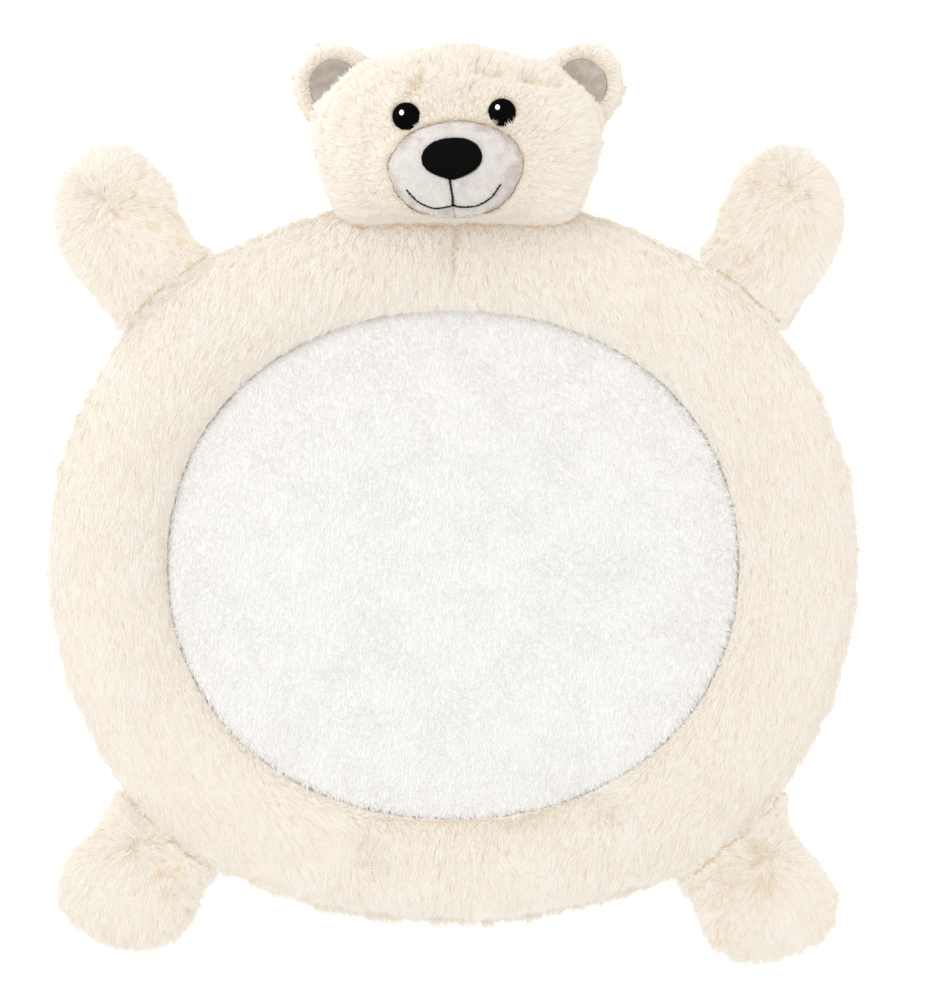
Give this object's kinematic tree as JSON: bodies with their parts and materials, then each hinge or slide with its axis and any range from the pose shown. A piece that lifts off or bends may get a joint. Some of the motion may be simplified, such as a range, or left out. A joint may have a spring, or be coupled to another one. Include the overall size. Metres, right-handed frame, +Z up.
{
  "type": "bear shaped plush play mat",
  "caption": "Padded baby play mat shaped like a bear: a stuffed fur ring around a short-pile panel, with fur paws and a stuffed head with ears, muzzle and nose.",
  "frame": {"origin": "on the floor under the middle of the round mat", "axes": "+Y towards the bear's head, +X to the right as seen from above with the head at the top, +Z up from the floor"},
  "size_m": [0.7844, 0.887, 0.117],
  "materials": {
    "cream_fur": "long soft pile, matte",
    "white_pile": "short curly pile, matte",
    "muzzle_pile": "very short velvety pile",
    "ear_cloth": "smooth cloth with a slight sheen",
    "nose_cloth": "padded satin cloth",
    "eye_gloss": "glossy black"
  },
  "bodies": {
    "root": {"fur_ring": "cream_fur", "centre_panel": "white_pile", "paw_upper_left": "cream_fur", "paw_upper_right": "cream_fur", "paw_lower_left": "cream_fur", "paw_lower_right": "cream_fur", "head": "cream_fur", "ear_left": "cream_fur", "ear_right": "cream_fur", "ear_lining_left": "ear_cloth", "ear_lining_right": "ear_cloth", "muzzle": "muzzle_pile", "nose": "nose_cloth", "eye_left": "eye_gloss", "eye_right": "eye_gloss"}
  },
  "joints": []
}
